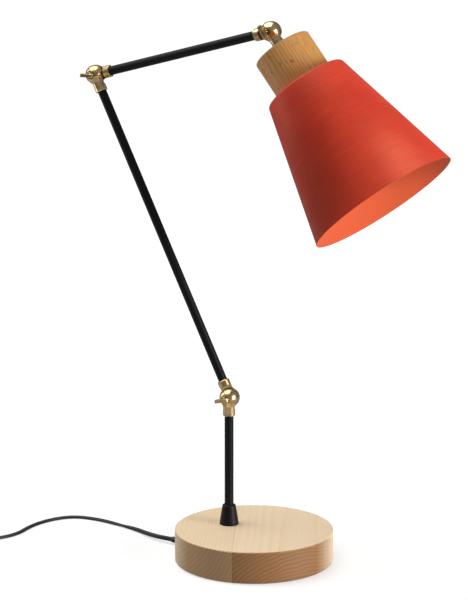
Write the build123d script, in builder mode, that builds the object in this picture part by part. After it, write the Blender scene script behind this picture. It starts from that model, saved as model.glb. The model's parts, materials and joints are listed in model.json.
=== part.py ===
from build123d import *

import math
import os

# Adjustable desk lamp: a round wooden base, a fixed stem, two tube arms joined by brass
# swivels with thumb screws, and a spun metal shade under a wooden cup. Millimetres, +Z up.
# The origin is the centre of the base's underside. The arms move in a plane parallel to XZ,
# the head points to +X, and the thumb screws stand out towards -Y.

os.makedirs("parts", exist_ok=True)

# ---------------------------------------------------------------- driving dimensions
BASE_R = 88.0
BASE_TOP = 36.0
BASE_LIFT = 1.0          # the wood stands this far clear of the table, on its pad
BASE_EASE = 1.2          # rounding of the disc's edges
WEB = 15.0               # wood left above the recess for the weight
PAD_R = 75.0
PAD_T = 2.0
WEIGHT_R = 63.0
WEIGHT_T = 15.0
WEIGHT_SLOT = 34.0       # width of the slot that clears the stem nut and the terminal block

TUBE_R = 5.0
TUBE_WALL = 1.0
SOCKET_DEPTH = 7.0       # how far a tube goes into a swivel neck
TUBE_ENTRY = 6.9
FIT = 0.03               # radial clearance of a tube in a neck

STEM_X = -32.0
SWIVEL_Z = 181.0         # height of the lower swivel
MAIN_ARM = 390.0         # swivel centre to swivel centre
UPPER_ARM = 230.0
MAIN_LEAN = 26.5         # degrees the main arm leans back from upright
UPPER_RISE = 13.7        # degrees the upper arm rises above level
HEAD_TILT = 38.0         # degrees the shade's axis swings forward from straight down

BALL_R = 10.8
NECK_R = 6.8
NECK = 20.4              # ball centre to neck end
NECK_CLEAR = 13.3        # the neck is a full cylinder past this distance
FACE = 0.7               # split face, measured from the neck's axis towards the other half
WASHER_T = 1.0
STEP = FACE + WASHER_T / 2     # neck axis to the middle of the joint
SPOT_FACE = 9.6          # flat on the front half, measured from the neck's axis
CAVITY_R = 6.4
CAVITY_DEPTH = 4.8
SCREW_R = 2.0
WING = (17.0, 5.0, 4.0)  # thumb screw wing: length, height along the screw, thickness

CUP_R = 32.5
CUP_LOW = 22.5           # distances along the shade's axis from the head swivel's centre
CUP_WEB = 12.0
SHADE_TOP = 68.5
SHADE_R = 46.0
MOUTH_R = 83.0
SHADE_LENGTH = 151.0
SHEET = 0.7              # shade metal thickness
HOLDER_R = 19.4
HOLDER_LOW = 58.0
HOLDER_END = 102.0

CORD_R = 2.65            # flat twin flex, drawn at its width
CORD_Z = 2.7
CORD_EXIT_Z = 5.6
RELIEF = 20.0            # strain relief length outside the base
COIL_R = 29.0            # middle of the coil's turns
COIL_W = 16.4
COIL_H = 16.4
SWITCH = (62.0, 24.0, 15.0)
PLUG_T = 13.7

# ---------------------------------------------------------------- places worked out from them
main_way = (-math.sin(math.radians(MAIN_LEAN)), 0, math.cos(math.radians(MAIN_LEAN)))
upper_way = (math.cos(math.radians(UPPER_RISE)), 0, math.sin(math.radians(UPPER_RISE)))
head_way = (math.sin(math.radians(HEAD_TILT)), 0, -math.cos(math.radians(HEAD_TILT)))

lower_pivot = Vector(STEM_X, STEP, SWIVEL_Z)
elbow_pivot = Vector(STEM_X, 3 * STEP, SWIVEL_Z) + Vector(*main_way) * MAIN_ARM
head_pivot = elbow_pivot + Vector(*upper_way) * UPPER_ARM
FRONT = Vector(0, -STEP, 0)
REAR = Vector(0, STEP, 0)


def opposite(way):
    return tuple(-c for c in way)


def neck_place(pivot, side, way):
    """Frame on a swivel half: origin at the ball centre on the neck's axis, +Z along the neck,
    +X towards the other half."""
    inward = (0, 1, 0) if side is FRONT else (0, -1, 0)
    return Plane(origin=pivot + side, x_dir=inward, z_dir=way)


def section_of(place):
    """The half plane that holds a frame's own X and Z, for profiles to be revolved."""
    return Plane(origin=place.origin, x_dir=place.x_dir, z_dir=-place.y_dir)


def axis_of(place):
    return Axis(place.origin, place.z_dir)


def save(builder, name):
    builder.part.label = name
    export_step(builder.part, f"parts/{name}.step")


def revolved(place, *corners):
    """A solid of revolution about a frame's Z axis from (radius, height) corners."""
    with BuildPart(place) as solid:
        with BuildSketch(section_of(place)):
            with BuildLine():
                Polyline(*corners, close=True)
            make_face()
        revolve(axis=axis_of(place))
    return solid


def swivel_half(pivot, side, way, neck_length=NECK, socket=SOCKET_DEPTH):
    """Half a ball with a neck. The front half takes the screw's shoulder, the rear its thread."""
    place = neck_place(pivot, side, way)
    tangent = math.radians(20)
    touch = (BALL_R * math.cos(tangent), BALL_R * math.sin(tangent))
    cone_end = touch[1] + (touch[0] - NECK_R) / math.tan(tangent) * 0.62
    with BuildPart(place) as half:
        with BuildSketch(section_of(place)):
            with BuildLine():
                CenterArc((0, 0), BALL_R, -90, 90 + math.degrees(tangent))
                Polyline(
                    touch,
                    (NECK_R, cone_end),
                    (NECK_R, neck_length - 0.8),
                    (NECK_R - 0.8, neck_length),
                    (0, neck_length),
                    (0, -BALL_R),
                )
            make_face()
        revolve(axis=axis_of(place))
        with Locations((FACE + BALL_R, 0, (NECK_CLEAR - BALL_R) / 2 - 1)):
            Box(2 * BALL_R, 3 * BALL_R, NECK_CLEAR + BALL_R + 2, mode=Mode.SUBTRACT)
        with Locations((0, 0, neck_length)):
            Cylinder(
                TUBE_R + FIT, socket, align=(Align.CENTER, Align.CENTER, Align.MAX),
                mode=Mode.SUBTRACT,
            )
        with Locations((-2.6, 0, 0)):
            Cylinder(
                2.5, neck_length - socket, align=(Align.CENTER, Align.CENTER, Align.MIN),
                mode=Mode.SUBTRACT,
            )
        with Locations(((FACE - CAVITY_DEPTH) / 2, 0, 0)):
            Cylinder(
                CAVITY_R, FACE + CAVITY_DEPTH, rotation=(0, 90, 0), mode=Mode.SUBTRACT
            )
        hole_end = SPOT_FACE if side is FRONT else 8.8
        with Locations((-(CAVITY_DEPTH + hole_end) / 2, 0, 0)):
            Cylinder(
                SCREW_R + 0.06, hole_end - CAVITY_DEPTH + 0.02, rotation=(0, 90, 0),
                mode=Mode.SUBTRACT,
            )
        if side is FRONT:
            with Locations((-SPOT_FACE - BALL_R / 2, 0, 0)):
                Box(BALL_R, BALL_R * 2, BALL_R * 2, mode=Mode.SUBTRACT)
    return half


def joint_washer(pivot):
    """Friction washer between the two halves, fixed to the rear one."""
    place = Plane(origin=pivot, x_dir=(1, 0, 0), z_dir=(0, 1, 0))
    return revolved(
        place,
        (CAVITY_R + 0.6, -WASHER_T / 2 + 0.05),
        (BALL_R - 0.7, -WASHER_T / 2 + 0.05),
        (BALL_R - 0.7, WASHER_T / 2),
        (CAVITY_R + 0.6, WASHER_T / 2),
    )


def thumb_screw(pivot, wing_way):
    """Shank along -Y through the front half into the rear one, with a round hub and a wing."""
    place = Plane(origin=pivot, x_dir=wing_way, z_dir=(0, -1, 0))
    seat = STEP + SPOT_FACE + 0.05
    hub_end = seat + 4.6
    wing_place = Plane(
        origin=place.origin + place.z_dir * (hub_end + WING[1] / 2),
        x_dir=place.x_dir,
        z_dir=place.y_dir,
    )
    with BuildPart(place) as screw:
        with BuildSketch(wing_place):
            RectangleRounded(WING[0], WING[1], 2.2)
        extrude(amount=WING[2] / 2, both=True)
        fillet(screw.faces().filter_by(Axis(place.origin, place.y_dir)).edges(), 0.7)
        with Locations((0, 0, -9.5)):
            Cylinder(SCREW_R, seat + 9.5, align=(Align.CENTER, Align.CENTER, Align.MIN))
        with Locations((0, 0, seat)):
            Cylinder(3.3, hub_end + 0.6 - seat, align=(Align.CENTER, Align.CENTER, Align.MIN))
    return screw


def arm_tube(origin, way, low, high):
    place = Plane(origin=origin, x_dir=(0, 1, 0), z_dir=way)
    return revolved(
        place,
        (TUBE_R - TUBE_WALL, low),
        (TUBE_R, low),
        (TUBE_R, high),
        (TUBE_R - TUBE_WALL, high),
    )


def hexagon_nut(place, low, height, across=14.0):
    with BuildPart(place) as nut:
        with BuildSketch(place.offset(low)):
            RegularPolygon(across / 2, 6, major_radius=False)
            Circle(TUBE_R + FIT, mode=Mode.SUBTRACT)
        extrude(amount=height)
    return nut


# ---------------------------------------------------------------- base
RECESS_TOP = BASE_TOP - WEB
stem_place = Plane(origin=(STEM_X, 0, 0), x_dir=(1, 0, 0), z_dir=(0, 0, 1))
screw_spots = [(48 * math.cos(math.radians(a)), 48 * math.sin(math.radians(a))) for a in (0, 112, -112)]

with BuildPart() as base_disc:
    with BuildSketch(Plane.XY.offset(BASE_LIFT)):
        Circle(BASE_R)
    extrude(amount=BASE_TOP - BASE_LIFT)
    fillet(base_disc.edges().filter_by(GeomType.CIRCLE), BASE_EASE)
    with BuildSketch(Plane.XY.offset(BASE_LIFT)):
        Circle(PAD_R + 0.5)
    extrude(amount=PAD_T - BASE_LIFT, mode=Mode.SUBTRACT)
    with BuildSketch(Plane.XY.offset(PAD_T)):
        Circle(WEIGHT_R + 1)
    extrude(amount=RECESS_TOP - PAD_T, mode=Mode.SUBTRACT)
    with BuildSketch(Plane.XY.offset(RECESS_TOP)):
        with Locations((STEM_X, 0)):
            Circle(TUBE_R + 0.1)
    extrude(amount=WEB, mode=Mode.SUBTRACT)
    with BuildSketch(Plane.XY.offset(RECESS_TOP)):
        with Locations(*screw_spots):
            Circle(2.02)
    extrude(amount=10, mode=Mode.SUBTRACT)
    with BuildSketch(Plane(origin=(-WEIGHT_R, 0, CORD_EXIT_Z), z_dir=(-1, 0, 0))):
        Circle(3.65)
    extrude(amount=30, mode=Mode.SUBTRACT)
save(base_disc, "base_disc")

with BuildPart() as base_weight:
    with BuildSketch(Plane.XY.offset(RECESS_TOP - WEIGHT_T)):
        Circle(WEIGHT_R)
        with Locations((STEM_X - 14, 0)):
            Rectangle(64, WEIGHT_SLOT, mode=Mode.SUBTRACT)
        with Locations(*screw_spots):
            Circle(2.3, mode=Mode.SUBTRACT)
    extrude(amount=WEIGHT_T)
save(base_weight, "base_weight")

with BuildPart() as weight_screws:
    with BuildSketch(Plane.XY.offset(RECESS_TOP - WEIGHT_T)):
        with Locations(*screw_spots):
            Circle(4.2)
    extrude(amount=-2.4)
    with BuildSketch(Plane.XY.offset(RECESS_TOP - WEIGHT_T)):
        with Locations(*screw_spots):
            Circle(2.0)
    extrude(amount=WEIGHT_T + 9.5)
    with BuildSketch(Plane.XY.offset(RECESS_TOP - WEIGHT_T - 2.4)):
        with Locations(*screw_spots):
            Rectangle(5.4, 1.0)
            Rectangle(1.0, 5.4)
    extrude(amount=1.4, mode=Mode.SUBTRACT)
save(weight_screws, "weight_screws")

with BuildPart() as base_pad:
    with BuildSketch():
        Circle(PAD_R)
    extrude(amount=PAD_T)
save(base_pad, "base_pad")

# ---------------------------------------------------------------- stem and its fixing
stem_tube = arm_tube((STEM_X, 0, 0), (0, 0, 1), 12.0, SWIVEL_Z - NECK + TUBE_ENTRY)
save(stem_tube, "stem_tube")

with BuildPart() as stem_washer:
    with BuildSketch(stem_place.offset(RECESS_TOP - 1.5)):
        Circle(13)
        Circle(TUBE_R + 0.1, mode=Mode.SUBTRACT)
    extrude(amount=1.5)
save(stem_washer, "stem_washer")

stem_nut = hexagon_nut(stem_place, RECESS_TOP - 6.0, 4.5)
save(stem_nut, "stem_nut")

stem_foot_cone = revolved(
    stem_place,
    (TUBE_R + 0.05, BASE_TOP),
    (10.2, BASE_TOP),
    (10.7, BASE_TOP + 0.6),
    (10.5, BASE_TOP + 3.2),
    (7.6, BASE_TOP + 21.0),
    (7.4, BASE_TOP + 22.0),
    (6.6, BASE_TOP + 22.6),
    (TUBE_R + 0.05, BASE_TOP + 22.6),
)
save(stem_foot_cone, "stem_foot_cone")

lower_swivel_front = swivel_half(lower_pivot, FRONT, (0, 0, -1))
save(lower_swivel_front, "lower_swivel_front")

# ---------------------------------------------------------------- mains entry inside the base
BLOCK = (14.5, 18.0, 16.0)
block_x = -54.0
with BuildPart() as terminal_block:
    with Locations((block_x, 0, RECESS_TOP - BLOCK[2] / 2)):
        Box(*BLOCK)
    fillet(terminal_block.edges().filter_by(Axis.Z), 1.0)
    with Locations((block_x, -4.5, RECESS_TOP - BLOCK[2]), (block_x, 4.5, RECESS_TOP - BLOCK[2])):
        Cylinder(2.2, 6, mode=Mode.SUBTRACT)
save(terminal_block, "terminal_block")

with BuildPart() as supply_tail:
    with BuildSketch(Plane(origin=(-66, 0, CORD_EXIT_Z), z_dir=(1, 0, 0))):
        Circle(2.4)
    extrude(amount=66 + block_x - BLOCK[0] / 2)
save(supply_tail, "supply_tail")

lead_r = 2.2
with BuildPart() as stem_lead:
    with BuildLine() as lead_line:
        FilletPolyline(
            (block_x + BLOCK[0] / 2, 0, CORD_EXIT_Z + 0.5),
            (STEM_X, 0, CORD_EXIT_Z + 0.5),
            (STEM_X, 0, SWIVEL_Z - NECK),
            radius=9,
        )
    with BuildSketch(Plane(origin=lead_line.line @ 0, z_dir=(1, 0, 0))):
        Circle(lead_r)
    sweep()
save(stem_lead, "stem_lead")

relief_place = Plane(origin=(-66, 0, CORD_EXIT_Z), x_dir=(0, 1, 0), z_dir=(-1, 0, 0))
wall = BASE_R - 66.0
relief_profile = [(0, 0), (3.6, 0), (3.6, wall), (4.5, wall), (4.5, wall + 1.4)]
for ring in range(4):
    start = wall + 2.2 + ring * 4.1
    ring_r = 4.2 - 0.2 * ring
    relief_profile += [
        (ring_r - 0.5, start - 0.8),
        (ring_r - 0.5, start),
        (ring_r, start),
        (ring_r - 0.2, start + 3.3),
    ]
relief_profile += [(3.0, wall + RELIEF - 1.2), (3.0, wall + RELIEF), (0, wall + RELIEF)]
strain_relief = revolved(relief_place, *relief_profile)
save(strain_relief, "strain_relief")

# ---------------------------------------------------------------- main arm
lower_swivel_rear = swivel_half(lower_pivot, REAR, main_way)
save(lower_swivel_rear, "lower_swivel_rear")
lower_swivel_washer = joint_washer(lower_pivot)
save(lower_swivel_washer, "lower_swivel_washer")
main_arm_tube = arm_tube(
    lower_pivot + REAR, main_way, NECK - TUBE_ENTRY, MAIN_ARM - NECK + TUBE_ENTRY
)
save(main_arm_tube, "main_arm_tube")
elbow_swivel_front = swivel_half(elbow_pivot, FRONT, opposite(main_way))
save(elbow_swivel_front, "elbow_swivel_front")


def straight_lead(origin, way, low, high):
    return revolved(
        Plane(origin=origin, x_dir=(0, 1, 0), z_dir=way),
        (0, low), (lead_r, low), (lead_r, high), (0, high),
    )


main_arm_lead = straight_lead(lower_pivot + REAR, main_way, NECK - 4, MAIN_ARM - NECK + 4)
save(main_arm_lead, "main_arm_lead")

# ---------------------------------------------------------------- upper arm
elbow_swivel_rear = swivel_half(elbow_pivot, REAR, upper_way)
save(elbow_swivel_rear, "elbow_swivel_rear")
elbow_swivel_washer = joint_washer(elbow_pivot)
save(elbow_swivel_washer, "elbow_swivel_washer")
upper_arm_tube = arm_tube(
    elbow_pivot + REAR, upper_way, NECK - TUBE_ENTRY, UPPER_ARM - NECK + TUBE_ENTRY
)
save(upper_arm_tube, "upper_arm_tube")
head_swivel_rear = swivel_half(head_pivot, REAR, opposite(upper_way))
save(head_swivel_rear, "head_swivel_rear")
upper_arm_lead = straight_lead(elbow_pivot + REAR, upper_way, NECK - 4, UPPER_ARM - NECK + 4)
save(upper_arm_lead, "upper_arm_lead")

# ---------------------------------------------------------------- head
head_swivel_front = swivel_half(head_pivot, FRONT, head_way, neck_length=CUP_LOW)
save(head_swivel_front, "head_swivel_front")
head_swivel_washer = joint_washer(head_pivot)
save(head_swivel_washer, "head_swivel_washer")
head_place = neck_place(head_pivot, FRONT, head_way)

with BuildPart(head_place) as socket_cup:
    with BuildSketch(section_of(head_place)):
        with BuildLine():
            Polyline(
                (TUBE_R + 0.1, CUP_LOW),
                (CUP_R, CUP_LOW),
                (CUP_R, SHADE_TOP),
                (26.0, SHADE_TOP),
                (26.0, CUP_LOW + CUP_WEB),
                (TUBE_R + 0.1, CUP_LOW + CUP_WEB),
                close=True,
            )
        make_face()
    revolve(axis=axis_of(head_place))
    outer_rims = socket_cup.edges().filter_by(GeomType.CIRCLE).filter_by(
        lambda edge: edge.radius > CUP_R - 0.01
    )
    fillet(outer_rims.sort_by(axis_of(head_place))[0], 1.6)
save(socket_cup, "socket_cup")

cup_nipple = revolved(
    head_place,
    (3.5, CUP_LOW - TUBE_ENTRY),
    (TUBE_R, CUP_LOW - TUBE_ENTRY),
    (TUBE_R, 46.9),
    (3.5, 46.9),
)
save(cup_nipple, "cup_nipple")

cup_nut = hexagon_nut(head_place, CUP_LOW + CUP_WEB, 4.0)
save(cup_nut, "cup_nut")

holder_cap = revolved(
    head_place,
    (TUBE_R + FIT, 39.0), (9.0, 39.0), (9.0, 44.0), (14.0, 46.5), (18.2, 50.5), (19.7, 54.0),
    (19.7, HOLDER_LOW), (17.8, HOLDER_LOW), (17.8, 54.5), (16.6, 51.8), (13.2, 48.5),
    (9.0, 47.0), (TUBE_R + FIT, 47.0),
)
save(holder_cap, "holder_cap")

holder_shell = revolved(
    head_place,
    (17.6, HOLDER_LOW), (HOLDER_R, HOLDER_LOW), (HOLDER_R, HOLDER_END - 0.8),
    (HOLDER_R - 0.8, HOLDER_END), (15.6, HOLDER_END), (15.6, HOLDER_END - 1.8),
    (17.6, HOLDER_END - 1.8),
)
save(holder_shell, "holder_shell")

holder_insulator = revolved(
    head_place,
    (0, 60.0), (17.4, 60.0), (17.4, HOLDER_END - 2.0), (14.4, HOLDER_END - 2.0), (14.4, 72.0),
    (0, 72.0),
)
save(holder_insulator, "holder_insulator")

SCREW_SHELL_R = 13.5
screw_shell = revolved(
    head_place,
    (SCREW_SHELL_R, 74.0), (14.3, 74.0), (14.3, 99.0), (SCREW_SHELL_R, 99.0),
)
save(screw_shell, "screw_shell")

centre_contact = revolved(head_place, (0, 72.0), (4.6, 72.0), (4.6, 72.8), (2.4, 73.6), (0, 73.6))
save(centre_contact, "centre_contact")

with BuildPart(head_place) as shade_ring:
    with BuildSketch(head_place.offset(SHADE_TOP + SHEET)):
        Circle(29.0)
        Circle(HOLDER_R + 0.06, mode=Mode.SUBTRACT)
    extrude(amount=2.4)
    with BuildSketch(head_place.offset(SHADE_TOP + SHEET + 2.4)):
        Circle(23.4)
        with PolarLocations(23.4, 24):
            Circle(0.9, mode=Mode.SUBTRACT)
        Circle(HOLDER_R + 0.06, mode=Mode.SUBTRACT)
    extrude(amount=6.0)
save(shade_ring, "shade_ring")

slope = (MOUTH_R - SHADE_R) / SHADE_LENGTH
inset = SHEET * math.sqrt(1 + slope**2)
shade_end = SHADE_TOP + SHADE_LENGTH
with BuildPart(head_place) as shade:
    with BuildSketch(section_of(head_place)):
        with BuildLine():
            FilletPolyline(
                (HOLDER_R + 0.5, SHADE_TOP), (SHADE_R, SHADE_TOP), (MOUTH_R, shade_end), radius=3.2
            )
            FilletPolyline(
                (HOLDER_R + 0.5, SHADE_TOP + SHEET),
                (SHADE_R + slope * SHEET - inset, SHADE_TOP + SHEET),
                (MOUTH_R - inset, shade_end),
                radius=2.5,
            )
            Line((HOLDER_R + 0.5, SHADE_TOP), (HOLDER_R + 0.5, SHADE_TOP + SHEET))
            Line((MOUTH_R, shade_end), (MOUTH_R - inset, shade_end))
        make_face()
    revolve(axis=axis_of(head_place))
save(shade, "shade")

# ---------------------------------------------------------------- thumb screws
lower_thumb_screw = thumb_screw(lower_pivot, (math.cos(math.radians(13)), 0, math.sin(math.radians(13))))
save(lower_thumb_screw, "lower_thumb_screw")
elbow_thumb_screw = thumb_screw(elbow_pivot, (1, 0, 0))
save(elbow_thumb_screw, "elbow_thumb_screw")
head_thumb_screw = thumb_screw(head_pivot, head_way)
save(head_thumb_screw, "head_thumb_screw")

# ---------------------------------------------------------------- supply cord
switch_x, switch_y = -371.0, -112.0          # middle of the inline switch
OUTER_TURN = 34.3                            # radius of the coil's outer turns
STUB = 20.0                                  # straight ends where the cord joins the coil
coil_x, coil_y = -458.0, switch_y + OUTER_TURN
exit_y = coil_y + OUTER_TURN
plug_x = coil_x + STUB + 24.0                # rear end of the plug's strain relief
to_switch = [
    (-BASE_R - RELIEF, 0, CORD_EXIT_Z),
    (-125, 0, CORD_EXIT_Z),
    (-145, 8.0, 4.2),
    (-168, 19.0, 3.0),
    (-196, 26.5, CORD_Z),
    (-228, 32.0, CORD_Z),
    (-261, 28.0, CORD_Z),
    (-283, 4.0, CORD_Z),
    (-290, -28.0, CORD_Z),
    (-284, -60.0, CORD_Z),
    (-287, -84.0, CORD_Z),
    (-301, -104.0, 4.4),
    (-321, switch_y, SWITCH[2] / 2),
    (switch_x + SWITCH[0] / 2, switch_y, SWITCH[2] / 2),
]
to_coil = [
    (switch_x - SWITCH[0] / 2, switch_y, SWITCH[2] / 2),
    (-411, switch_y, SWITCH[2] / 2),
    (-429, switch_y, CORD_Z + 0.05),
    (coil_x + STUB, switch_y, CORD_Z + 0.05),
]
to_plug = [
    (coil_x + STUB, exit_y, CORD_Z + 2 * CORD_R),
    (coil_x + STUB + 7, exit_y, CORD_Z + 2 * CORD_R),
    (plug_x - 7, exit_y, PLUG_T / 2),
    (plug_x, exit_y, PLUG_T / 2),
]


def bend_radii(points):
    radii = []
    for before, here, after in zip(points, points[1:], points[2:]):
        come, go = Vector(*here) - Vector(*before), Vector(*after) - Vector(*here)
        turn = math.radians(come.get_angle(go))
        radii.append(0.45 * min(come.length, go.length) / math.tan(turn / 2))
    return radii


def cord_tube(points, name):
    radii = bend_radii(points)
    with BuildPart() as tube:
        with BuildLine() as route:
            FilletPolyline(*points, radius=radii)
        with BuildSketch(Plane(origin=route.line @ 0, z_dir=route.line % 0)):
            Circle(CORD_R)
        sweep()
    length = sum(edge.length for edge in route.edges())
    share = tube.part.volume / (math.pi * CORD_R**2 * length)
    print(name, "length", round(length, 1), "smallest radius", round(min(radii), 1),
          "volume / section x length", round(share, 4))
    return tube


cord_lead = cord_tube(to_switch, "cord_lead")
save(cord_lead, "cord_lead")
cord_link = cord_tube(to_coil, "cord_link")
save(cord_link, "cord_link")
cord_tail = cord_tube(to_plug, "cord_tail")
save(cord_tail, "cord_tail")

with BuildPart() as cord_coil:
    with BuildSketch(Plane(origin=(coil_x, coil_y, 0), x_dir=(1, 0, 0), z_dir=(0, -1, 0))):
        with Locations((COIL_R, 0.05 + COIL_H / 2)):
            RectangleRounded(COIL_W, COIL_H, 2.6)
    revolve(axis=Axis((coil_x, coil_y, 0), (0, 0, 1)))
    with BuildSketch(Plane(origin=(coil_x, switch_y, to_coil[-1][2]), z_dir=(1, 0, 0))):
        Circle(CORD_R)
    extrude(amount=STUB)
    with BuildSketch(Plane(origin=(coil_x, exit_y, to_plug[0][2]), z_dir=(1, 0, 0))):
        Circle(CORD_R)
    extrude(amount=STUB)
save(cord_coil, "cord_coil")

# ---------------------------------------------------------------- inline switch on the cord
WALL = 1.6
switch_mid = SWITCH[2] / 2
screw_marks = [(switch_x - 24, switch_y + 6.5), (switch_x + 24, switch_y - 6.5)]


def switch_outline(shrink):
    with Locations((switch_x, switch_y)):
        RectangleRounded(SWITCH[0] - 2 * shrink, SWITCH[1] - 2 * shrink, 6.0 - shrink)


with BuildPart() as switch_lower_shell:
    with BuildSketch(Plane.XY.offset(0.05)):
        switch_outline(0)
    extrude(amount=switch_mid - 0.05)
    fillet(switch_lower_shell.faces().sort_by(Axis.Z)[0].edges(), 1.2)
    with BuildSketch(Plane.XY.offset(WALL)):
        switch_outline(WALL)
        with Locations(*screw_marks):
            Circle(2.9, mode=Mode.SUBTRACT)
    extrude(amount=switch_mid, mode=Mode.SUBTRACT)
    with BuildSketch(Plane.XY):
        with Locations(*screw_marks):
            Circle(1.42)
    extrude(amount=switch_mid, mode=Mode.SUBTRACT)
    with BuildSketch(Plane.XY):
        with Locations(*screw_marks):
            Circle(2.5)
    extrude(amount=2.4, mode=Mode.SUBTRACT)
save(switch_lower_shell, "switch_lower_shell")

ROCKER = (18.0, 9.6)
with BuildPart() as switch_upper_shell:
    with BuildSketch(Plane.XY.offset(switch_mid)):
        switch_outline(0)
    extrude(amount=switch_mid)
    fillet(switch_upper_shell.faces().sort_by(Axis.Z)[-1].edges(), 2.2)
    with BuildSketch(Plane.XY.offset(switch_mid)):
        switch_outline(WALL)
        with Locations(*screw_marks):
            Circle(2.9, mode=Mode.SUBTRACT)
    extrude(amount=switch_mid - WALL, mode=Mode.SUBTRACT)
    with BuildSketch(Plane.XY.offset(switch_mid)):
        with Locations(*screw_marks):
            Circle(1.34)
    extrude(amount=4.6, mode=Mode.SUBTRACT)
    with BuildSketch(Plane.XY.offset(switch_mid)):
        with Locations((switch_x, switch_y)):
            Rectangle(ROCKER[0] + 2.4, ROCKER[1] + 0.8)
    extrude(amount=SWITCH[2], mode=Mode.SUBTRACT)
save(switch_upper_shell, "switch_upper_shell")

rocker_tilt = math.radians(8)                # the end towards +X stands up at rest
rocker_place = Plane(
    origin=(switch_x, switch_y, 12.0),
    x_dir=(math.cos(rocker_tilt), 0, math.sin(rocker_tilt)),
    z_dir=(0, -1, 0),
)
with BuildPart() as switch_rocker:
    with BuildSketch(rocker_place):
        half_length = ROCKER[0] / 2
        with BuildLine():
            Polyline(
                (-half_length, -0.8), (-half_length, 4.8), (0, 3.5), (half_length, 4.8),
                (half_length, -0.8), (4.2, -1.8), (-4.2, -1.8), close=True,
            )
        make_face()
    extrude(amount=ROCKER[1] / 2, both=True)
    with BuildSketch(rocker_place):
        Circle(1.0)
    extrude(amount=ROCKER[1] / 2 + 1.2, both=True)
save(switch_rocker, "switch_rocker")

with BuildPart() as switch_screws:
    with BuildSketch(Plane.XY.offset(0.6)):
        with Locations(*screw_marks):
            Circle(2.4)
    extrude(amount=1.7)
    with BuildSketch(Plane.XY.offset(2.3)):
        with Locations(*screw_marks):
            Circle(1.3)
    extrude(amount=9.4)
    with BuildSketch(Plane.XY.offset(0.6)):
        with Locations(*screw_marks):
            Rectangle(3.4, 0.7)
            Rectangle(0.7, 3.4)
    extrude(amount=0.9, mode=Mode.SUBTRACT)
save(switch_screws, "switch_screws")

# ---------------------------------------------------------------- mains plug
PLUG_RELIEF = 22.0
PLUG_BODY = 36.0
body_x = plug_x + PLUG_RELIEF
pin_x = body_x + PLUG_BODY
PIN_GAP = 18.6
pin_places = [
    Plane(origin=(pin_x, exit_y + side * PIN_GAP / 2, PLUG_T / 2), x_dir=(0, 1, 0), z_dir=(1, 0, 0))
    for side in (-1, 1)
]

with BuildPart() as plug_body:
    with BuildSketch(Plane.XY) as outline:
        with BuildLine():
            Polyline(
                (body_x, exit_y - 7), (body_x + 14, exit_y - 17.2), (pin_x, exit_y - 17.2),
                (pin_x, exit_y + 17.2), (body_x + 14, exit_y + 17.2), (body_x, exit_y + 7),
                close=True,
            )
        make_face()
        fillet(outline.vertices(), 3.0)
    extrude(amount=PLUG_T)
    fillet(plug_body.faces().filter_by(Axis.Z).edges(), 2.0)
    with BuildSketch(Plane(origin=(plug_x, exit_y, PLUG_T / 2), z_dir=(1, 0, 0))):
        Circle(3.1)
    with BuildSketch(Plane(origin=(body_x + 2, exit_y, PLUG_T / 2), z_dir=(1, 0, 0))):
        Circle(5.0)
    loft()
    for place in pin_places:
        with BuildSketch(place.offset(-6.2)):
            Circle(1.65)
        extrude(amount=8, mode=Mode.SUBTRACT)
save(plug_body, "plug_body")

with BuildPart() as plug_pins:
    for place in pin_places:
        with BuildSketch(place.offset(-6)):
            Circle(1.6)
        extrude(amount=16)
        with BuildSketch(place.offset(10)):
            Circle(2.0)
        extrude(amount=9)
    fillet(plug_pins.faces().sort_by(Axis.X)[-2:].edges(), 1.4)
save(plug_pins, "plug_pins")

with BuildPart() as pin_sleeves:
    for place in pin_places:
        with BuildSketch(place):
            Circle(2.0)
            Circle(1.62, mode=Mode.SUBTRACT)
        extrude(amount=10)
save(pin_sleeves, "pin_sleeves")
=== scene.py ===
# %% [markdown]
# # An adjustable desk lamp, from frame to finished picture
# The lamp has a round beech base, black tube arms on brass swivels, a beech cup and a spun red shade.
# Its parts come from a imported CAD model, in metres, with +Z up and the head towards +X. Most of them
# only need a good material. The flex, its tie and the shade are made here, because a smooth path or a
# finely lathed surface looks better than what a CAD export gives.

import json
import math

import bpy
from mathutils import Matrix, Vector


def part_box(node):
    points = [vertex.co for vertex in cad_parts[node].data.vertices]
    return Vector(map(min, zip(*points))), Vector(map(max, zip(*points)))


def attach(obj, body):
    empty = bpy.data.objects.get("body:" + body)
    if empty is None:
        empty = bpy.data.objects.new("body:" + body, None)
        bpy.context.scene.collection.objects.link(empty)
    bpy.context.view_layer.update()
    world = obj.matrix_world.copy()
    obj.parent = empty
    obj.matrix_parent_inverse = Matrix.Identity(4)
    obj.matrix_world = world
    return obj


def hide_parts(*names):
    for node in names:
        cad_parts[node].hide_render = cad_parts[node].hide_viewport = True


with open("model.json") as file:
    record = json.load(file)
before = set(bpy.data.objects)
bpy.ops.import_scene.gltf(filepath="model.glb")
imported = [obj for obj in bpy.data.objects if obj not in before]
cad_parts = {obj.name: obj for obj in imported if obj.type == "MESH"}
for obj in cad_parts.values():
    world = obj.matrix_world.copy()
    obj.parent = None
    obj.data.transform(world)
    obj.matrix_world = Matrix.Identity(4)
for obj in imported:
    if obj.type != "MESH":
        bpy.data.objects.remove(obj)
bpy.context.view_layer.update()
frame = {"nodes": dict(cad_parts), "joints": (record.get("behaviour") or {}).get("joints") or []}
MM = 0.001
scene = bpy.context.scene

# %% [markdown]
# ## The camera
# A product picture is taken from far off with a long lens, so that the lamp's straight arms stay
# straight and its base doesn't look swollen. The camera stands at the lamp's front right, a little
# above it. Its three axes are worked out from the two angles, which is easier to read than a rotation.

# %% Camera
CAMERA_AZIMUTH = math.radians(30.0)
CAMERA_ELEVATION = math.radians(11.06)
CAMERA_PLACE = Vector((1.0515, -1.8657, 0.7128))

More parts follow.
